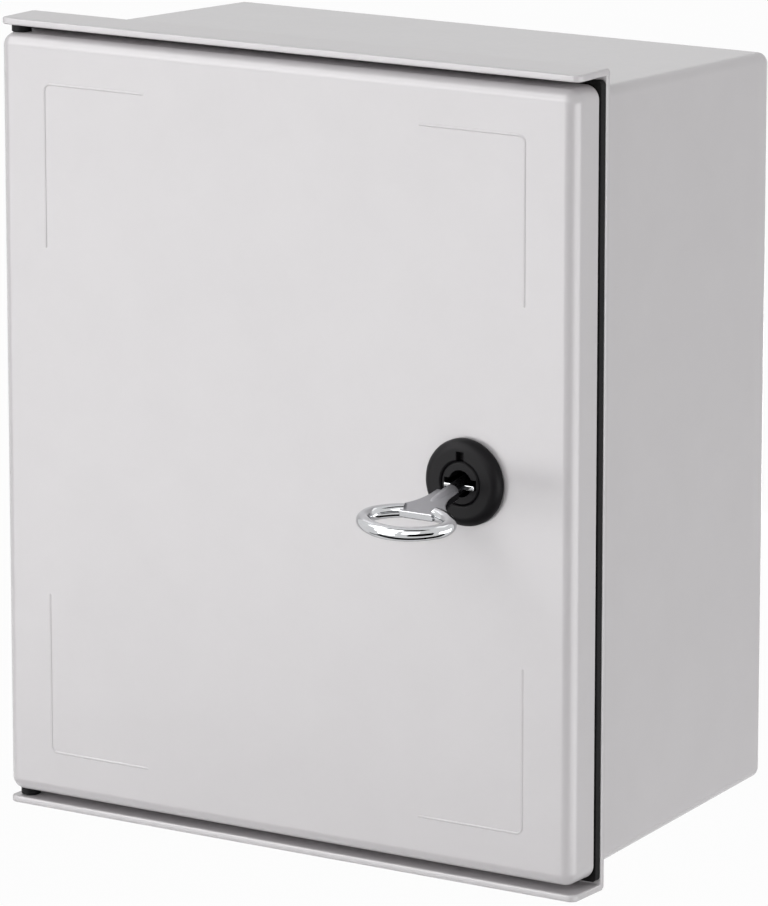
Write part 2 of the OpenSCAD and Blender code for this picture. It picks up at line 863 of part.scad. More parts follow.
// One arc of the bow, round bar along a circle in the XY plane
module bow_arc(r, bar_r, from, sweep) {
    rotate([0, 0, from])
        rotate_extrude(angle = sweep)
            translate([r, 0])
                circle(r = bar_r, $fn = hull_fn);
}

// The key straight out of the hole, its axis along Y and the rotor face at y = 0
module straight_key() {
    difference() {
        union() {
            rod(0, 0, -shoulder_out - 4, key_in, tube_r);
            translate([-bit_w / 2, key_in - bit_len, -bit_t / 2])
                cube([bit_w, bit_len, bit_t]);
            translate([0, 0, -web_t / 2])
                linear_extrude(height = web_t)
                    difference() {
                        union() {
                            translate([-web_w / 2, web_bar_y])
                                square([web_w, bow_out - shoulder_out]);
                            translate([-web_tab_w / 2, -bow_out + bow_d / 2 - web_tab_in])
                                square([web_tab_w, bow_out - shoulder_out]);
                        }
                        translate([-web_w, -shoulder_out])
                            square([2 * web_w, bow_out]);
                        for (s = sides)
                            translate([s * (shoulder_w / 2 + web_side_r), -shoulder_out - 1])
                                circle(r = web_side_r);
                    }
            translate([0, -bow_out, 0]) {
                for (s = sides)
                    translate([s * bow_end_x, 0, 0])
                        bow_arc(bow_end_r, bow_bar_r + bow_swell, 90 - s * 90 - bow_turn - bow_lap,
                            2 * bow_turn + 2 * bow_lap);
                translate([0, bow_big_c, 0])
                    bow_arc(bow_big_r, bow_bar_r, 180 + bow_turn, 180 - 2 * bow_turn);
                for (from = [bow_turn, 90 + bow_cut])
                    translate([0, -bow_big_c, 0])
                        bow_arc(bow_big_r, bow_bar_r, from, 90 - bow_turn - bow_cut);
            }
        }
        rod(0, 0, key_in - tube_bore_deep, key_in + lap, tube_bore_r);
    }
}

module lock_key() {
    color([0.80, 0.81, 0.82])
    translate([lock_x, rotor_face + key_pivot, 0])
        rotate([key_droop, 0, 0])
            translate([0, -key_pivot, 0])
                straight_key();
}

body_shell();
door_seal();
upper_hinge_pin();
lower_hinge_pin();
hinge_clip();
strike_bracket();
strike_screws();
plate_inserts();
mounting_plate();
plate_washers();
plate_screws();
door_panel();
upper_hinge_bush();
lower_hinge_bush();
lock_housing();
lock_seal();
lock_washer();
lock_nut();
lock_rotor();
rotor_o_ring();
drive_pin();
latch_cam();
cam_washer();
cam_screw();
lock_key();
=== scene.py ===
import json
import math
import bmesh
import bpy
from mathutils import Matrix, Vector


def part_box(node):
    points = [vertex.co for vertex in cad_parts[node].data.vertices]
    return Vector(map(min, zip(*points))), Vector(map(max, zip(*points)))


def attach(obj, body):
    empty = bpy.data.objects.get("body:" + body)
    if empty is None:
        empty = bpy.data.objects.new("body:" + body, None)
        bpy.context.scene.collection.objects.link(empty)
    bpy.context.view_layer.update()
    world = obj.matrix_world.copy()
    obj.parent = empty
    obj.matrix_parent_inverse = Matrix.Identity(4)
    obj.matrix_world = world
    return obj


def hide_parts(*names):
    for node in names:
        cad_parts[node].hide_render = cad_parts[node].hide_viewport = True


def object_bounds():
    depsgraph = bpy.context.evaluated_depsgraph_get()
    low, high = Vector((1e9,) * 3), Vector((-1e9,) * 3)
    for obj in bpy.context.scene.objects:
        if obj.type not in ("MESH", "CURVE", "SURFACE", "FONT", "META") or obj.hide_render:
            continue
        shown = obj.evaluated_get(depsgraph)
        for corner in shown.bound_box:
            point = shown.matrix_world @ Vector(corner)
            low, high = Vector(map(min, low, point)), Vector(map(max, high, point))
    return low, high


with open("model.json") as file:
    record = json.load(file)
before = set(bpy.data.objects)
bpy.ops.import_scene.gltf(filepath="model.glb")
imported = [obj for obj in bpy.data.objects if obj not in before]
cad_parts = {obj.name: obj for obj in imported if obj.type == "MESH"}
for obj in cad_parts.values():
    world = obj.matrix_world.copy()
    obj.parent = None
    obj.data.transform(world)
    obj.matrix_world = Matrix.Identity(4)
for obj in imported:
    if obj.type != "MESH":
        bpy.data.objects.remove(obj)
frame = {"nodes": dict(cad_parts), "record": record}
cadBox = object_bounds()
record = frame["record"]
mm = 0.001
bodyOf = {name: body for body, names in record["behaviour"]["bodies"].items() for name in names}
slotOf = {row["node"]: row["material_slot"] for row in record["subparts"]}
print("frame loaded:", len(frame["nodes"]), "nodes")

# camera at the photograph's angle: a long lens from the right and a little above
shot = {"lens": 254.8, "sensor": 36, "clipEnd": 50,
        "place": (1.2662, -2.03929, 0.50912), "down": 12.604, "turn": 32.880}

scene = bpy.context.scene
scene.view_settings.view_transform = "Standard"
camData = bpy.data.cameras.new("camera")
camData.lens = shot["lens"]
camData.sensor_width = shot["sensor"]
camData.clip_end = shot["clipEnd"]
cam = bpy.data.objects.new("camera", camData)
cam.location = shot["place"]
cam.rotation_euler = (math.radians(90 - shot["down"]), 0, math.radians(shot["turn"]))
scene.collection.objects.link(cam)
scene.camera = cam
print("camera set")

white, black = (1, 1, 1, 1), (0, 0, 0, 1)
colourA, colourB, colourOut = 6, 7, 2                     # sockets of a Mix node set to colour


def hexColour(text):
    # the sRGB curve undone
    parts = [int(text[i:i + 2], 16) / 255 for i in (1, 3, 5)]
    return [c / 12.92 if c <= 0.04045 else ((c + 0.055) / 1.055) ** 2.4 for c in parts] + [1.0]


def addNode(tree, kind, inputs=None, **settings):
    made = tree.nodes.new("ShaderNode" + kind)
    for name, value in settings.items():
        setattr(made, name, value)
    for name, value in (inputs or {}).items():
        if isinstance(value, bpy.types.Node):
            value = value.outputs[0]
        if isinstance(value, bpy.types.NodeSocket):
            tree.links.new(value, made.inputs[name])
        else:
            made.inputs[name].default_value = value
    return made


def newMaterial(name, **constants):
    mat = bpy.data.materials.new(name)
    mat.use_nodes = True
    tree = mat.node_tree
    shader = tree.nodes["Principled BSDF"]
    for socket, value in constants.items():
        shader.inputs[socket.replace("_", " ")].default_value = value
    place = addNode(tree, "TexCoord").outputs["Object"]
    return mat, tree, shader, place


def perMm(size):
    # texture scale of a pattern that repeats about every size mm, on coordinates in metres
    return 1 / (size * mm)


# studio: an even surround, a pale floor, and soft boxes given by degrees right of the door's
# front, degrees up, metres away, size in metres and watts
studio = {"surround": 0.32, "floorDropMm": 450, "floorSize": 8.0, "floorHex": "#C2C2C2",
          "floorGlow": 0.97, "toothMm": 4, "toothRough": (0.72, 0.82)}
softBoxes = {"keyBox": {"turn": 8, "rise": 22, "far": 2.6, "size": (1.1, 1.1), "watts": 11.0},
             "leftBox": {"turn": -29, "rise": -9, "far": 2.0, "size": (1.05, 0.95), "watts": 12.9},
             "rightBox": {"turn": 95, "rise": -11, "far": 1.7, "size": (1.3, 0.6), "watts": 7.7},
             "highBox": {"turn": -32, "rise": 48, "far": 2.2, "size": (0.9, 0.5), "watts": 5.2},
             "topBox": {"turn": 120, "rise": 70, "far": 2.0, "size": (1.2, 1.2), "watts": 2.8},
             "backBox": {"turn": 200, "rise": -22, "far": 2.4, "size": (1.0, 1.0), "watts": 20.0}}
# cards that only mirrors see: black ones give the chrome its dark lines, lit ones give the door's
# rolled edges their pale lines, and a plain white one keeps the right box's glare off the back
cards = {"cardRight": {"turn": 26, "rise": -8, "far": 1.5, "size": (1.0, 0.9), "glow": 0},
         "cardLow": {"turn": -40, "rise": -38, "far": 0.7, "size": (0.6, 0.10), "glow": 0},
         "cardHigh": {"turn": -20, "rise": 62, "far": 1.2, "size": (1.2, 0.25), "glow": 0},
         "cardUnder": {"turn": 20, "rise": -50, "far": 0.5, "size": (1.2, 0.30), "glow": 0},
         "cardEdge": {"turn": 94, "rise": -11, "far": 1.5, "size": (2.0, 0.8), "glow": 4.7},
         "cardBrow": {"turn": -32, "rise": 20, "far": 1.8, "size": (1.2, 0.62), "glow": 6.6},
         "cardOver": {"turn": -52, "rise": 47, "far": 1.5, "size": (1.0, 0.75), "glow": 5.5},
         "cardBack": {"turn": 110, "rise": -13, "far": 0.32, "size": (0.22, 0.7), "glow": 1.0}}


def aimed(row):
    # a place round the box and the turn that faces it
    turn, rise = math.radians(row["turn"]), math.radians(row["rise"])
    away = Vector((math.sin(turn) * math.cos(rise), -math.cos(turn) * math.cos(rise),
                   math.sin(rise)))
    return Matrix.Translation(away * row["far"]) @ away.to_track_quat("Z", "Y").to_matrix().to_4x4()


def whiteToEye(tree):
    # 1 for what the eye, a mirror or a glass sees straight, 0 for light that falls on things
    path = addNode(tree, "LightPath")
    seen = path.outputs["Is Camera Ray"]
    for ray in ("Is Glossy Ray", "Is Transmission Ray"):
        either = addNode(tree, "Math", {0: seen, 1: path.outputs[ray]}, operation="MAXIMUM")
        seen = either.outputs[0]
    return seen


world = bpy.data.worlds.new("studio")
scene.world = world
world.use_nodes = True
tree = world.node_tree
level = addNode(tree, "MapRange", {"Value": whiteToEye(tree), "To Min": studio["surround"],
                                   "To Max": 1.0})
tree.links.new(level.outputs[0], tree.nodes["Background"].inputs["Strength"])
tree.nodes["Background"].inputs["Color"].default_value = white

for name, row in softBoxes.items():
    lamp = bpy.data.lights.new(name, "AREA")
    lamp.shape = "RECTANGLE"
    lamp.size, lamp.size_y = row["size"]
    lamp.energy = row["watts"]
    obj = bpy.data.objects.new(name, lamp)
    obj.matrix_world = aimed(row)
    obj.visible_camera = False
    scene.collection.objects.link(obj)

# matt board: pale, faint tooth, keeps a soft shadow of the box
bm = bmesh.new()
bmesh.ops.create_grid(bm, x_segments=1, y_segments=1, size=studio["floorSize"])
bmesh.ops.translate(bm, verts=bm.verts, vec=(0, 0, cadBox[0].z - studio["floorDropMm"] * mm))
floorMesh = bpy.data.meshes.new("floor")
bm.to_mesh(floorMesh)
bm.free()
floor = bpy.data.objects.new("floor", floorMesh)
scene.collection.objects.link(floor)
mat, tree, shader, place = newMaterial("matt white board")
shader.inputs["Base Color"].default_value = hexColour(studio["floorHex"])
tooth = addNode(tree, "TexNoise", {"Vector": place, "Scale": perMm(studio["toothMm"]),
                                   "Detail": 3.0})
rough = addNode(tree, "MapRange", {"Value": tooth, "To Min": studio["toothRough"][0],
                                   "To Max": studio["toothRough"][1]})
tree.links.new(rough.outputs[0], shader.inputs["Roughness"])
share = addNode(tree, "Math", {0: whiteToEye(tree), 1: studio["floorGlow"]}, operation="MULTIPLY")
glow = addNode(tree, "Emission", {"Color": white, "Strength": 1.0})
both = addNode(tree, "MixShader", {0: share, 1: shader, 2: glow})
# to an eye below it the board is clear, so that the underside of the box can be seen
under = addNode(tree, "NewGeometry").outputs["Backfacing"]
eye = addNode(tree, "LightPath").outputs["Is Camera Ray"]
below = addNode(tree, "Math", {0: under, 1: eye}, operation="MULTIPLY")
clear = addNode(tree, "BsdfTransparent")
seen = addNode(tree, "MixShader", {0: below, 1: both, 2: clear})
tree.links.new(seen.outputs[0], tree.nodes["Material Output"].inputs["Surface"])
floorMesh.materials.append(mat)

# black felt on card: takes nearly all light, faint nap
nap = {"light": "#141414", "dark": "#080808", "napMm": 3}
felt, tree, shader, place = newMaterial("black felt", Roughness=1.0, Specular_IOR_Level=0.0)
fuzz = addNode(tree, "TexNoise", {"Vector": place, "Scale": perMm(nap["napMm"])})
shade = addNode(tree, "Mix", {"Factor": fuzz, colourA: hexColour(nap["dark"]),
                              colourB: hexColour(nap["light"])}, data_type="RGBA")
tree.links.new(shade.outputs[colourOut], shader.inputs["Base Color"])
for name, row in cards.items():
    bm = bmesh.new()
    bmesh.ops.create_grid(bm, x_segments=1, y_segments=1, size=0.5)       # a square of 1 m
    bmesh.ops.scale(bm, verts=bm.verts, vec=(*row["size"], 1))
    bmesh.ops.transform(bm, verts=bm.verts, matrix=aimed(row))
    cardMesh = bpy.data.meshes.new(name)
    bm.to_mesh(cardMesh)
    bm.free()
    mat = felt
    if row["glow"]:
        mat, tree, shader, place = newMaterial("lit white card", Emission_Strength=row["glow"])
        shader.inputs["Base Color"].default_value = black
        shader.inputs["Emission Color"].default_value = white
    cardMesh.materials.append(mat)
    card = bpy.data.objects.new(name, cardMesh)
    card.visible_camera = card.visible_diffuse = card.visible_shadow = False
    scene.collection.objects.link(card)
print("studio set")

finish = {}

# glass-filled polyester pressed in a polished mould: even light grey, satin, with a very faint
# clouding of the filler and a slight orange peel in the highlights
moulding = {"light": "#DAD7D9", "dark": "#D4D1D3", "cloudMm": 28, "rough": (0.262, 0.272),
            "strandMm": 3.0, "strandTurn": (0.4, 0.9, 0.6), "strandStretch": (1.0, 1.0, 0.35),
            "peelMm": 2.4, "peel": 0.03, "deepMm": 0.2}
mat, tree, shader, place = newMaterial("pressed glass-filled polyester, light grey", IOR=1.52)
cloud = addNode(tree, "TexNoise", {"Vector": place, "Scale": perMm(moulding["cloudMm"]),
                                   "Detail": 5.0, "Roughness": 0.6})
shade = addNode(tree, "Mix", {"Factor": cloud, colourA: hexColour(moulding["dark"]),
                              colourB: hexColour(moulding["light"])}, data_type="RGBA")
tree.links.new(shade.outputs[colourOut], shader.inputs["Base Color"])
# chopped strands lie just under the skin: real bundles are finer, drawn 3 mm wide to show at all
along = addNode(tree, "Mapping", {"Vector": place, "Rotation": moulding["strandTurn"],
                                  "Scale": moulding["strandStretch"]})
strand = addNode(tree, "TexNoise", {"Vector": along, "Scale": perMm(moulding["strandMm"]),
                                    "Detail": 2.0})
rough = addNode(tree, "MapRange", {"Value": strand, "From Min": 0.3, "From Max": 0.7,
                                   "To Min": moulding["rough"][0], "To Max": moulding["rough"][1]})
tree.links.new(rough.outputs[0], shader.inputs["Roughness"])
peel = addNode(tree, "TexNoise", {"Vector": place, "Scale": perMm(moulding["peelMm"]),
                                  "Detail": 2.0})
bump = addNode(tree, "Bump", {"Height": peel, "Strength": moulding["peel"],
                              "Distance": moulding["deepMm"] * mm})
tree.links.new(bump.outputs[0], shader.inputs["Normal"])
finish["moulding"] = mat

# closed-cell foam rubber: dull black, fine pores; the pits the bump makes are also coloured darker,
# painted shade in the pores
foam = {"light": "#1F1E1F", "dark": "#131213", "poreMm": 0.7, "bump": 0.35, "deepMm": 0.15}
mat, tree, shader, place = newMaterial("closed-cell foam rubber, black", Roughness=0.86,
                                       Specular_IOR_Level=0.16)
pore = addNode(tree, "TexVoronoi", {"Vector": place, "Scale": perMm(foam["poreMm"])})
shade = addNode(tree, "Mix", {"Factor": pore, colourA: hexColour(foam["dark"]),
                              colourB: hexColour(foam["light"])}, data_type="RGBA")
tree.links.new(shade.outputs[colourOut], shader.inputs["Base Color"])
bump = addNode(tree, "Bump", {"Height": pore, "Strength": foam["bump"],
                              "Distance": foam["deepMm"] * mm})
tree.links.new(bump.outputs[0], shader.inputs["Normal"])
finish["seal_rubber"] = mat

# turned stainless steel: neutral, close rings that the tool leaves across the upright pins
stainless = {"light": "#CFCFCD", "dark": "#B9B9B8", "ringMm": 0.5, "squeeze": (0.05, 0.05, 1.0),
             "rough": (0.22, 0.36)}
# turned brass: warm yellow, fine rings round the bore
brass = {"light": "#D9B868", "dark": "#B8913F", "ringMm": 0.5, "squeeze": (0.05, 1.0, 0.05),
         "rough": (0.2, 0.34)}
for slotName, row, title in (("stainless", stainless, "turned stainless steel"),
                             ("brass", brass, "turned brass")):
    mat, tree, shader, place = newMaterial(title, Metallic=1.0)
    squeeze = addNode(tree, "Mapping", {"Vector": place, "Scale": row["squeeze"]})
    ring = addNode(tree, "TexNoise", {"Vector": squeeze, "Scale": perMm(row["ringMm"]),
                                      "Detail": 1.0})
    shade = addNode(tree, "Mix", {"Factor": ring, colourA: hexColour(row["dark"]),
                                  colourB: hexColour(row["light"])}, data_type="RGBA")
    tree.links.new(shade.outputs[colourOut], shader.inputs["Base Color"])
    rough = addNode(tree, "MapRange", {"Value": ring, "To Min": row["rough"][0],
                                       "To Max": row["rough"][1]})
    tree.links.new(rough.outputs[0], shader.inputs["Roughness"])
    finish[slotName] = mat

# bright zinc plate on pressed steel: cool, a little milky, uneven in patches
zinc = {"light": "#CDD2D6", "dark": "#B4BABF", "patchMm": 5, "rough": (0.24, 0.42)}
mat, tree, shader, place = newMaterial("bright zinc plate", Metallic=1.0)
patch = addNode(tree, "TexNoise", {"Vector": place, "Scale": perMm(zinc["patchMm"]),
                                   "Detail": 6.0, "Roughness": 0.65})
shade = addNode(tree, "Mix", {"Factor": patch, colourA: hexColour(zinc["dark"]),
                              colourB: hexColour(zinc["light"])}, data_type="RGBA")
tree.links.new(shade.outputs[colourOut], shader.inputs["Base Color"])
rough = addNode(tree, "MapRange", {"Value": patch, "From Min": 0.3, "From Max": 0.7,
                                   "To Min": zinc["rough"][0], "To Max": zinc["rough"][1]})
tree.links.new(rough.outputs[0], shader.inputs["Roughness"])
finish["zinc_steel"] = mat

# hot-dip galvanised sheet: flat grey crystals, each of its own tone and gloss
spangle = {"light": "#B3B8BB", "dark": "#A2A7AB", "crystalMm": 6, "wobbleMm": 6, "swayMm": 3,
           "rough": (0.40, 0.50), "bump": 0.02, "deepMm": 0.1}
mat, tree, shader, place = newMaterial("hot-dip galvanised sheet", Metallic=1.0)
wobble = addNode(tree, "TexNoise", {"Vector": place, "Scale": perMm(spangle["wobbleMm"]),
                                    "Detail": 2.0})
sway = addNode(tree, "VectorMath", {0: wobble.outputs["Color"], "Scale": spangle["swayMm"] * mm},
               operation="SCALE")
bent = addNode(tree, "VectorMath", {0: place, 1: sway}, operation="ADD")
crystal = addNode(tree, "TexVoronoi", {"Vector": bent, "Scale": perMm(spangle["crystalMm"])})
tone = addNode(tree, "SeparateColor", {0: crystal.outputs["Color"]})
shade = addNode(tree, "Mix", {"Factor": tone, colourA: hexColour(spangle["dark"]),
                              colourB: hexColour(spangle["light"])}, data_type="RGBA")
tree.links.new(shade.outputs[colourOut], shader.inputs["Base Color"])
rough = addNode(tree, "MapRange", {"Value": tone.outputs[1], "To Min": spangle["rough"][0],
                                   "To Max": spangle["rough"][1]})
tree.links.new(rough.outputs[0], shader.inputs["Roughness"])
bump = addNode(tree, "Bump", {"Height": tone.outputs[2], "Strength": spangle["bump"],
                              "Distance": spangle["deepMm"] * mm})
tree.links.new(bump.outputs[0], shader.inputs["Normal"])
finish["galvanised"] = mat

# black nylon bush: waxy, almost even
nylon = {"light": "#1C1C1D", "dark": "#131314", "grainMm": 2, "rough": (0.4, 0.5),
         "bump": 0.12, "deepMm": 0.05, "base": {"Specular_IOR_Level": 0.11}}
# glass-filled polyamide lock: near black, fine spark-eroded grain of the mould, dull sheen
polyamide = {"light": "#1A191B", "dark": "#121113", "grainMm": 0.5, "rough": (0.36, 0.5),
             "bump": 0.12, "deepMm": 0.05, "base": {"Specular_IOR_Level": 0.11}}
# the key's flat web keeps the mould's satin under a thin plate: grey, no clear mirror
satin = {"light": "#A7A7AA", "dark": "#9A9A9E", "grainMm": 0.8, "rough": (0.34, 0.46),
         "bump": 0.1, "deepMm": 0.05, "base": {"Metallic": 1.0}}
# its tube is steel coloured dark: a painted reflection of the black lock in front of it, with a
# narrow sheen
paintedReflection = {"light": "#48484B", "dark": "#333336", "grainMm": 0.6, "rough": (0.22, 0.34),
             "bump": 0.1, "deepMm": 0.05, "base": {"Metallic": 1.0}}
for slotName, row, title in (("bush_nylon", nylon, "black nylon"),
                             ("lock_black", polyamide, "glass-filled polyamide, black"),
                             ("key_satin", satin, "satin plate on die casting"),
                             ("key_tube", paintedReflection, "blackened steel")):
    mat, tree, shader, place = newMaterial(title, **row["base"])
    grain = addNode(tree, "TexNoise", {"Vector": place, "Scale": perMm(row["grainMm"]),
                                       "Detail": 4.0})
    shade = addNode(tree, "Mix", {"Factor": grain, colourA: hexColour(row["dark"]),
                                  colourB: hexColour(row["light"])}, data_type="RGBA")
    tree.links.new(shade.outputs[colourOut], shader.inputs["Base Color"])
    rough = addNode(tree, "MapRange", {"Value": grain, "To Min": row["rough"][0],
                                       "To Max": row["rough"][1]})
    tree.links.new(rough.outputs[0], shader.inputs["Roughness"])
    bump = addNode(tree, "Bump", {"Height": grain, "Strength": row["bump"],
                                  "Distance": row["deepMm"] * mm})
    tree.links.new(bump.outputs[0], shader.inputs["Normal"])
    finish[slotName] = mat

# chrome plate on a die casting: mirror bright, soft ripple of the casting under it
chrome = {"light": "#CBCCCE", "dark": "#BFC0C2", "rippleMm": 3.5, "rough": (0.05, 0.10),
          "bump": 0.05, "deepMm": 0.2}
mat, tree, shader, place = newMaterial("chrome plate on die casting", Metallic=1.0)
ripple = addNode(tree, "TexNoise", {"Vector": place, "Scale": perMm(chrome["rippleMm"]),
                                    "Detail": 3.0})
shade = addNode(tree, "Mix", {"Factor": ripple, colourA: hexColour(chrome["dark"]),
                              colourB: hexColour(chrome["light"])}, data_type="RGBA")
tree.links.new(shade.outputs[colourOut], shader.inputs["Base Color"])
rough = addNode(tree, "MapRange", {"Value": ripple, "To Min": chrome["rough"][0],
                                   "To Max": chrome["rough"][1]})
tree.links.new(rough.outputs[0], shader.inputs["Roughness"])
bump = addNode(tree, "Bump", {"Height": ripple, "Strength": chrome["bump"],
                              "Distance": chrome["deepMm"] * mm})
tree.links.new(bump.outputs[0], shader.inputs["Normal"])
finish["key_chrome"] = mat

for name, obj in frame["nodes"].items():
    obj.data.materials.clear()
    obj.data.materials.append(finish[slotOf[name]])
print("materials set:", len(finish))

# mesh settings: mm between doubles, degrees under which a face runs on flat, degrees from which
# an edge is a rim to ease and from which it is drawn sharp, and steps across an eased edge
meshing = {"weld": 0.002, "flat": 0.3, "rim": 32, "sharp": 40, "steps": 3}


def keepPiece(bm, name, node, *extra):
    # the bmesh becomes a piece that stands for a CAD node and moves with its body
    for face in bm.faces:
        face.smooth = True
    for edge in bm.edges:
        if edge.is_manifold and edge.calc_face_angle() > math.radians(meshing["sharp"]):
            edge.smooth = False
    mesh = bpy.data.meshes.new(name)
    bm.to_mesh(mesh)
    bm.free()
    for kind in (slotOf[node],) + extra:
        mesh.materials.append(finish[kind])
    piece = bpy.data.objects.new(name, mesh)
    scene.collection.objects.link(piece)
    flow = piece.modifiers.new("even normals", "WEIGHTED_NORMAL")
    flow.keep_sharp = True
    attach(piece, bodyOf[node])
    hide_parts(node)
    return piece


# beads in the door's corners: the solid's ridge drawn in to the fine line that shows. The solid's
# lengths are in mm, thin and low are the shares of its width and height that stay.
bead = {"x": 103.8, "z": 127.1, "bend": 2.5, "stand": 0.45, "reach": 1.05, "near": 0.005,
        "thin": 0.55, "low": 0.6}


def thinBeads(bm):
    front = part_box("door_panel")[0].y + bead["stand"] * mm
    turnX, turnZ = (bead["x"] - bead["bend"]) * mm, (bead["z"] - bead["bend"]) * mm
    for v in bm.verts:
        if v.co.y > front + bead["near"] * mm:
            continue
        x, z = abs(v.co.x), abs(v.co.z)
        if x > turnX and z > turnZ:
            out = Vector((x - turnX, z - turnZ)).normalized() * bead["bend"] * mm
            nearX, nearZ = turnX + out.x, turnZ + out.y
        elif abs(x - bead["x"] * mm) < bead["reach"] * mm:
            nearX, nearZ = bead["x"] * mm, z
        else:
            nearX, nearZ = x, bead["z"] * mm
        if math.hypot(x - nearX, z - nearZ) < bead["reach"] * mm:
            v.co.x = math.copysign(nearX + (x - nearX) * bead["thin"], v.co.x)
            v.co.z = math.copysign(nearZ + (z - nearZ) * bead["thin"], v.co.z)
            v.co.y = front + (v.co.y - front) * bead["low"]


# the eave's and the sill's free corners: the solid's small arc swung wider, as it reads in the
# photograph, lengths in mm
eaveCorner = {"endX": 125, "frontY": -148.5, "solidR": 1.6, "wideR": 3.0, "near": 0.02}


def widenCorners(bm):
    small, wide = eaveCorner["solidR"] * mm, eaveCorner["wideR"] * mm
    endX, frontY = eaveCorner["endX"] * mm, eaveCorner["frontY"] * mm
    near = eaveCorner["near"] * mm
    for v in bm.verts:
        out = Vector((abs(v.co.x) - endX + small, frontY + small - v.co.y))
        if min(out) > -near and abs(out.length - small) < near:
            out *= wide / small
            v.co.x = math.copysign(endX - wide + out.x, v.co.x)
            v.co.y = frontY + wide - out.y


# edges that the mould, the press or the lathe leaves a little round, in mm
easing = {"body_shell": 0.7, "door_panel": 0.5, "door_seal": 1.2, "mounting_plate": 0.3,
          "strike_bracket": 0.3, "latch_cam": 0.3, "lock_housing": 0.25, "lock_rotor": 0.15,
          "lock_nut": 0.35, "lock_washer": 0.15, "cam_washer": 0.15, "plate_washers": 0.15,
          "plate_screws": 0.15, "strike_screws": 0.12, "cam_screw": 0.12, "plate_inserts": 0.2,
          "upper_hinge_bush": 0.2, "lower_hinge_bush": 0.2, "upper_hinge_pin": 0.25,
          "lower_hinge_pin": 0.25, "hinge_clip": 0.1, "lock_seal": 0.2, "drive_pin": 0.3}
# one tight spot holds back the easing of a whole piece, so on these its rims stay sharp instead,
# and the door is eased only behind its front and away from its hinge corners
tightSpots = {"nodes": ("body_shell", "door_panel", "lock_housing", "plate_screws"),
              "angle": 80, "doorFromX": -118, "doorBehindY": -149.8}


def offHinges(rim):
    fromX, behindY = tightSpots["doorFromX"] * mm, tightSpots["doorBehindY"] * mm
    return all(v.co.x > fromX and v.co.y > behindY for v in rim.verts)


def crowded(rim, others, width):
    # whether the easing of a rim would run off the end of a short plain edge beside it
    for v in rim.verts:
        for edge in v.link_edges:
            if edge in others or not set(edge.link_faces) & set(rim.link_faces):
                continue
            turn = (rim.other_vert(v).co - v.co).angle(edge.other_vert(v).co - v.co)
            room = edge.calc_length() * math.sin(turn)
            if turn < math.radians(tightSpots["angle"]) and room < width:
                return True
    return False


def withRoom(rims, width):
    tight = True
    while tight:
        kept = set(rims)
        tight = {rim for rim in rims if crowded(rim, kept, width)}
        rims = [rim for rim in rims if rim not in tight]
    return rims


for node, width in easing.items():
    bm = bmesh.new()
    bm.from_mesh(frame["nodes"][node].data)
    bmesh.ops.remove_doubles(bm, verts=bm.verts, dist=meshing["weld"] * mm)
    if node == "door_panel":
        thinBeads(bm)
    bmesh.ops.dissolve_limit(bm, angle_limit=math.radians(meshing["flat"]), verts=bm.verts,
                             edges=bm.edges)
    if node == "body_shell":
        widenCorners(bm)
    rims = [e for e in bm.edges if e.is_manifold and e.is_convex
            and e.calc_face_angle() > math.radians(meshing["rim"])]
    if node == "door_panel":
        rims = [e for e in rims if offHinges(e)]
    if node in tightSpots["nodes"]:
        rims = withRoom(rims, width * mm)
    bmesh.ops.bevel(bm, geom=rims, offset=width * mm, offset_type="OFFSET", affect="EDGES",
                    segments=meshing["steps"], profile=0.5, material=-1,
                    clamp_overlap=node not in tightSpots["nodes"])
    words = node.split("_")
    piece = keepPiece(bm, words[0] + "".join(w.capitalize() for w in words[1:]), node)
    print("eased", piece.name, len(piece.data.polygons), "faces")

# the key, drawn straight out along -Y with the rotor's face at y = 0 and then tipped down in the
# lock: a round bow, a flat web that ends straight inside the bow, a hollow tube that grows out of
# the web, and two bits. Lengths in mm, tube as radius and y.
keyShape = {"axisX": 80.2, "faceY": -154.8, "droop": 10, "pivot": 4.6,
            "bowOut": 36, "bowW": 33.9, "bowD": 21, "endR": 6.2, "barR": 2.6, "barCut": 6.4,
            "barSides": 28, "rearSteps": 10, "endSteps": 20, "frontSteps": 32,
            "webT": 2.8, "shoulder": (4.6, -8.0), "waist": -11, "sideR": 20, "sideSteps": 12,
            "webAtBar": -25, "tab": ((7.8, -26.4), (6.9, -30.0)), "webRim": 25, "webEase": 0.35,
            "webFlat": 0.7,
            "tube": ((0.0, -20.4), (0.9, -20.0), (1.7, -18.4), (2.2, -15.6), (2.5, -12.4),
                     (2.7, -9.0), (2.7, -5.4), (2.7, 8.3), (2.45, 8.6), (2.3, 8.6), (2.3, -2.4),
                     (0.0, -3.4)), "tubeSteps": 40, "neckEnd": -5.4,
            "bit": (12.6, 9.6, 1.8), "bitTip": 8.6, "bitEase": 0.3}
k = keyShape
chromed, satined, paintedDark = 0, 1, 2                      # the key's material slots

# bow: a round bar spun along four arcs that meet smoothly
bm = bmesh.new()
endX = k["bowW"] / 2 - k["endR"]
bigR = (endX ** 2 + (k["bowD"] / 2) ** 2 - k["endR"] ** 2) / (k["bowD"] - 2 * k["endR"])
bigC = bigR - k["bowD"] / 2
sweep = math.atan2(bigC, endX)                            # each end arc turns this far either way
cut = math.asin(k["barCut"] / bigR)                       # the rear bar is left out under the web
rear = math.pi / 2 - cut - sweep
ring = bmesh.ops.create_circle(bm, segments=k["barSides"], radius=k["barR"])["verts"]
bmesh.ops.rotate(bm, verts=ring, cent=(0, 0, 0), matrix=Matrix.Rotation(math.pi / 2, 3, "X"))
bmesh.ops.translate(bm, verts=ring, vec=(bigR, 0, 0))
bmesh.ops.rotate(bm, verts=ring, cent=(0, 0, 0),
                 matrix=Matrix.Rotation(math.pi / 2 - cut, 3, "Z"))
bmesh.ops.translate(bm, verts=ring, vec=(0, -k["bowOut"] - bigC, 0))
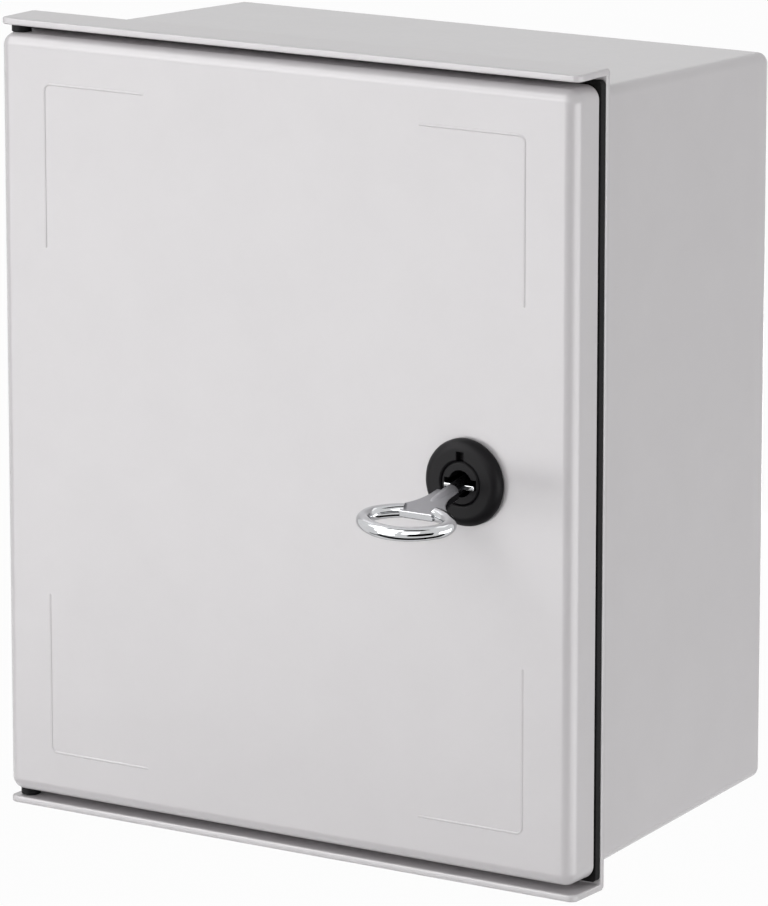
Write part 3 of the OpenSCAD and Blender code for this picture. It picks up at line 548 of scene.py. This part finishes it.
path = ((0, -bigC, rear, k["rearSteps"]), (endX, 0, 2 * sweep, k["endSteps"]),
        (0, bigC, math.pi - 2 * sweep, k["frontSteps"]),
        (-endX, 0, 2 * sweep, k["endSteps"]), (0, -bigC, rear, k["rearSteps"]))
front = list(ring) + list(bm.edges)
bmesh.ops.contextual_create(bm, geom=list(bm.edges))
for x, y, angle, steps in path:
    front = bmesh.ops.spin(bm, geom=front, cent=(x, y - k["bowOut"], 0), axis=(0, 0, -1),
                           angle=angle, steps=steps)["geom_last"]
bmesh.ops.contextual_create(bm, geom=[g for g in front if isinstance(g, bmesh.types.BMEdge)])
bow = set(bm.faces)

# web outline: right half from the shoulder round the hollow side to the straight end, then its
# mirror
shoulderX = k["shoulder"][0]
chain = [bm.verts.new((*k["shoulder"], 0)), bm.verts.new((shoulderX, k["waist"], 0))]
arc = math.asin((k["waist"] - k["webAtBar"]) / k["sideR"])
swung = bmesh.ops.spin(bm, geom=[chain[1]], cent=(shoulderX + k["sideR"], k["waist"], 0),
                       axis=(0, 0, 1), angle=arc, steps=k["sideSteps"])["geom_last"]
while chain[-1] not in swung:
    beside = [e.other_vert(chain[-1]) for e in chain[-1].link_edges]
    chain.append([v for v in beside if v not in chain][0])
chain += [bm.verts.new((x, y, 0)) for x, y in k["tab"]]
left = [bm.verts.new((-v.co.x, v.co.y, 0)) for v in reversed(chain)]
web = bm.faces.new(chain + left)
web.normal_update()
if web.normal.z > 0:
    web.normal_flip()
grown = bmesh.ops.extrude_face_region(bm, geom=[web])["geom"]
raised = [g for g in grown if isinstance(g, bmesh.types.BMVert)]
bmesh.ops.translate(bm, verts=raised, vec=(0, 0, k["webT"]))
webVerts = chain + left + raised
bmesh.ops.translate(bm, verts=webVerts, vec=(0, 0, -k["webT"] / 2))
rims = [e for e in bm.edges if e.verts[0] in webVerts and e.verts[1] in webVerts
        and e.is_manifold and e.calc_face_angle() > math.radians(k["webRim"])]
bmesh.ops.bevel(bm, geom=rims, offset=k["webEase"], offset_type="OFFSET", affect="EDGES",
                segments=meshing["steps"], profile=0.5, material=-1, clamp_overlap=True)
bm.normal_update()
web = set(bm.faces) - bow
for face in web:
    # the flats are satin, the rounded rims and the sides chrome
    face.material_index = satined if abs(face.normal.z) > k["webFlat"] else chromed

# tube: its outline spun round the key's own axis
line = [bm.verts.new((r, y, 0)) for r, y in k["tube"]]
edges = [bm.edges.new(pair) for pair in zip(line, line[1:])]
bmesh.ops.spin(bm, geom=line + edges, cent=(0, 0, 0), axis=(0, 1, 0), angle=2 * math.pi,
               steps=k["tubeSteps"], use_merge=True)
# past the neck the tube takes the dark steel, whose colour is a painted reflection of the black
# lock
for face in set(bm.faces) - bow - web:
    inNeck = face.calc_center_median().y < k["neckEnd"]
    face.material_index = satined if inNeck else paintedDark

# bits: one flat bar through the tube's end
bits = bmesh.ops.create_cube(bm, size=1)["verts"]
bmesh.ops.scale(bm, verts=bits, vec=k["bit"])
bmesh.ops.translate(bm, verts=bits, vec=(0, k["bitTip"] - k["bit"][1] / 2, 0))
rims = [e for e in bm.edges if e.verts[0] in bits]
bmesh.ops.bevel(bm, geom=rims, offset=k["bitEase"], offset_type="OFFSET", affect="EDGES",
                segments=meshing["steps"], profile=0.5, material=-1, clamp_overlap=True)

bmesh.ops.remove_doubles(bm, verts=bm.verts, dist=meshing["weld"])
bmesh.ops.recalc_face_normals(bm, faces=bm.faces)
seat = (Matrix.Translation((k["axisX"], k["faceY"] + k["pivot"], 0))
        @ Matrix.Rotation(math.radians(k["droop"]), 4, "X")
        @ Matrix.Translation((0, -k["pivot"], 0)))
bmesh.ops.transform(bm, verts=bm.verts, matrix=Matrix.Scale(mm, 4) @ seat)
piece = keepPiece(bm, "doubleBitKey", "lock_key", "key_satin", "key_tube")
print("key made:", len(piece.data.polygons), "faces")
